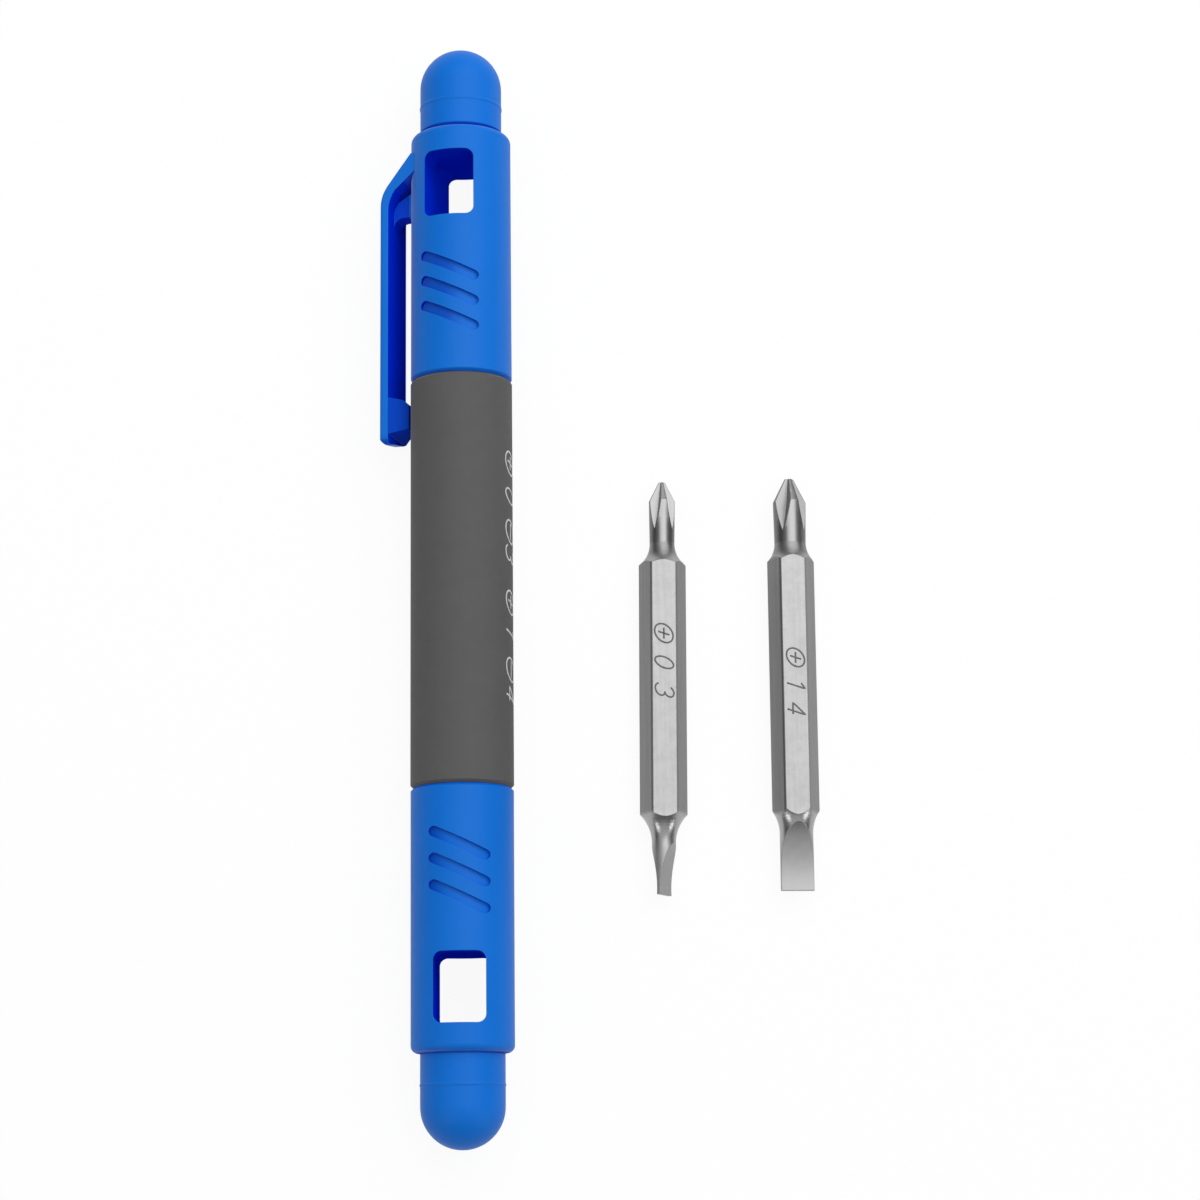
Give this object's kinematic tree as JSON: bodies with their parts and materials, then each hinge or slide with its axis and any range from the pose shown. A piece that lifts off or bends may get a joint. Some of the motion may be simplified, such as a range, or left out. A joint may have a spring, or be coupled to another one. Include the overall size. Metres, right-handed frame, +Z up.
{
  "type": "pocket screwdriver",
  "caption": "Pen-shaped pocket screwdriver with a soft grip, push-on windowed end caps, a pocket clip and loose double-ended bits beside it.",
  "frame": {"origin": "on the surface that the parts lie on, below the middle of the whole lay-out", "axes": "+Y along the barrel towards the cap with the clip, +X from the barrel towards the bits, +Z up"},
  "size_m": [0.0532, 0.1354, 0.0124],
  "materials": {
    "grip_sleeve": "soft-touch, very fine grain",
    "barrel_core": "fine grain",
    "holding_magnet": "nickel plated",
    "friction_ring": "smooth",
    "clip_cap": "fine moulded grain",
    "plain_cap": "fine moulded grain",
    "end_plug": "fine moulded grain",
    "small_bit": "satin plated, with ground blade faces",
    "large_bit": "satin plated, with ground blade faces"
  },
  "bodies": {
    "barrel": {"grip_sleeve": "grip_sleeve", "barrel_core": "barrel_core", "holding_magnet": "holding_magnet"},
    "clip_ring": {"clip_cap_ring": "friction_ring"},
    "clip_cap": {"clip_cap": "clip_cap", "clip_cap_plug": "end_plug"},
    "plain_ring": {"plain_cap_ring": "friction_ring"},
    "plain_cap": {"plain_cap": "plain_cap", "plain_cap_plug": "end_plug"},
    "small_bit": {"small_bit": "small_bit"},
    "large_bit": {"large_bit": "large_bit"}
  },
  "joints": [
    {"name": "turn_clip_cap", "type": "hinge", "parent": "barrel", "child": "clip_ring", "pos_m": [-0.01672, 0.0296, 0.0062], "axis": [0, 1, 0], "continuous": true},
    {"name": "pull_clip_cap", "type": "slide", "parent": "clip_ring", "child": "clip_cap", "axis": [0, 1, 0], "range_m": [0, 0.045]},
    {"name": "turn_plain_cap", "type": "hinge", "parent": "barrel", "child": "plain_ring", "pos_m": [-0.01672, -0.0296, 0.0062], "axis": [0, -1, 0], "continuous": true},
    {"name": "pull_plain_cap", "type": "slide", "parent": "plain_ring", "child": "plain_cap", "axis": [0, -1, 0], "range_m": [0, 0.045]},
    {"name": "lift_small_bit", "type": "slide", "parent": "barrel", "child": "small_bit", "axis": [0, 0, 1], "range_m": [0, 0.03]},
    {"name": "lift_large_bit", "type": "slide", "parent": "barrel", "child": "large_bit", "axis": [0, 0, 1], "range_m": [0, 0.03]}
  ]
}
